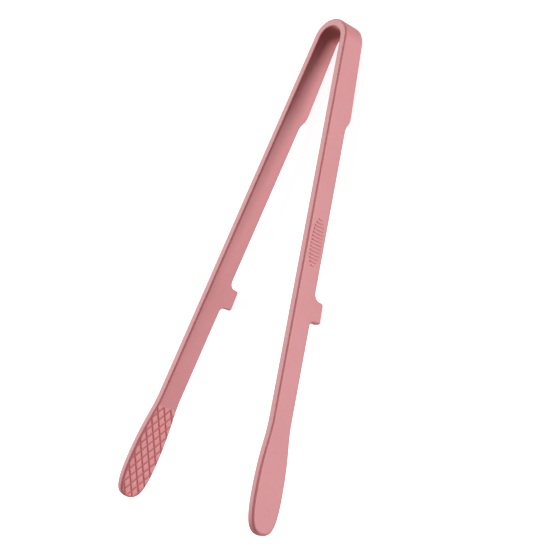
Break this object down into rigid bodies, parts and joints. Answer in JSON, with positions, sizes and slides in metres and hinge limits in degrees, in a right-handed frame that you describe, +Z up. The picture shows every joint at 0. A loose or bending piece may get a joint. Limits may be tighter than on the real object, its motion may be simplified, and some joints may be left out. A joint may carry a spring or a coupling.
{
  "type": "kitchen tongs",
  "caption": "Spring loaded tweezer tongs in one soft silicone skin over moulded cores and a steel bow, with crosshatched paddles, ribbed finger grips and a foot under each arm.",
  "frame": {"origin": "on the table that the tongs lie on, midway between the outer end of the bow and the ends of the paddles, in the plane between the arms", "axes": "+Z up from the table; +Y along the tongs towards the bow, so the paddles are at -Y; X across the arms, which are mirror images"},
  "size_m": [0.0998, 0.2463, 0.0245],
  "materials": {
    "pink_silicone": "matte moulded silicone, dusty pink",
    "core_nylon": "glass-filled nylon, natural",
    "spring_steel": "tempered stainless strip",
    "rivet_steel": "stainless, turned"
  },
  "bodies": {
    "head": {"head_skin": "pink_silicone", "spring_bow": "spring_steel"},
    "left_arm": {"left_arm_core": "core_nylon", "left_arm_skin": "pink_silicone", "left_rivet_1": "rivet_steel", "left_rivet_2": "rivet_steel"},
    "right_arm": {"right_arm_core": "core_nylon", "right_arm_skin": "pink_silicone", "right_rivet_1": "rivet_steel", "right_rivet_2": "rivet_steel"}
  },
  "joints": [
    {"name": "left_arm_squeeze", "type": "hinge", "parent": "head", "child": "left_arm", "pos_m": [-0.00619, 0.11852, 0.01222], "axis": [0, 0.0427, 0.9991], "range_deg": [0, 10.7], "stiffness_Nm_per_rad": 2.6, "deforming": ["spring_bow"]},
    {"name": "right_arm_squeeze", "type": "hinge", "parent": "head", "child": "right_arm", "pos_m": [0.00619, 0.11852, 0.01222], "axis": [0, -0.0427, -0.9991], "range_deg": [0, 10.7], "stiffness_Nm_per_rad": 2.6, "deforming": ["spring_bow"]}
  ],
  "couplings": [
    {"joint": "right_arm_squeeze", "follows": "left_arm_squeeze", "ratio": 1}
  ]
}
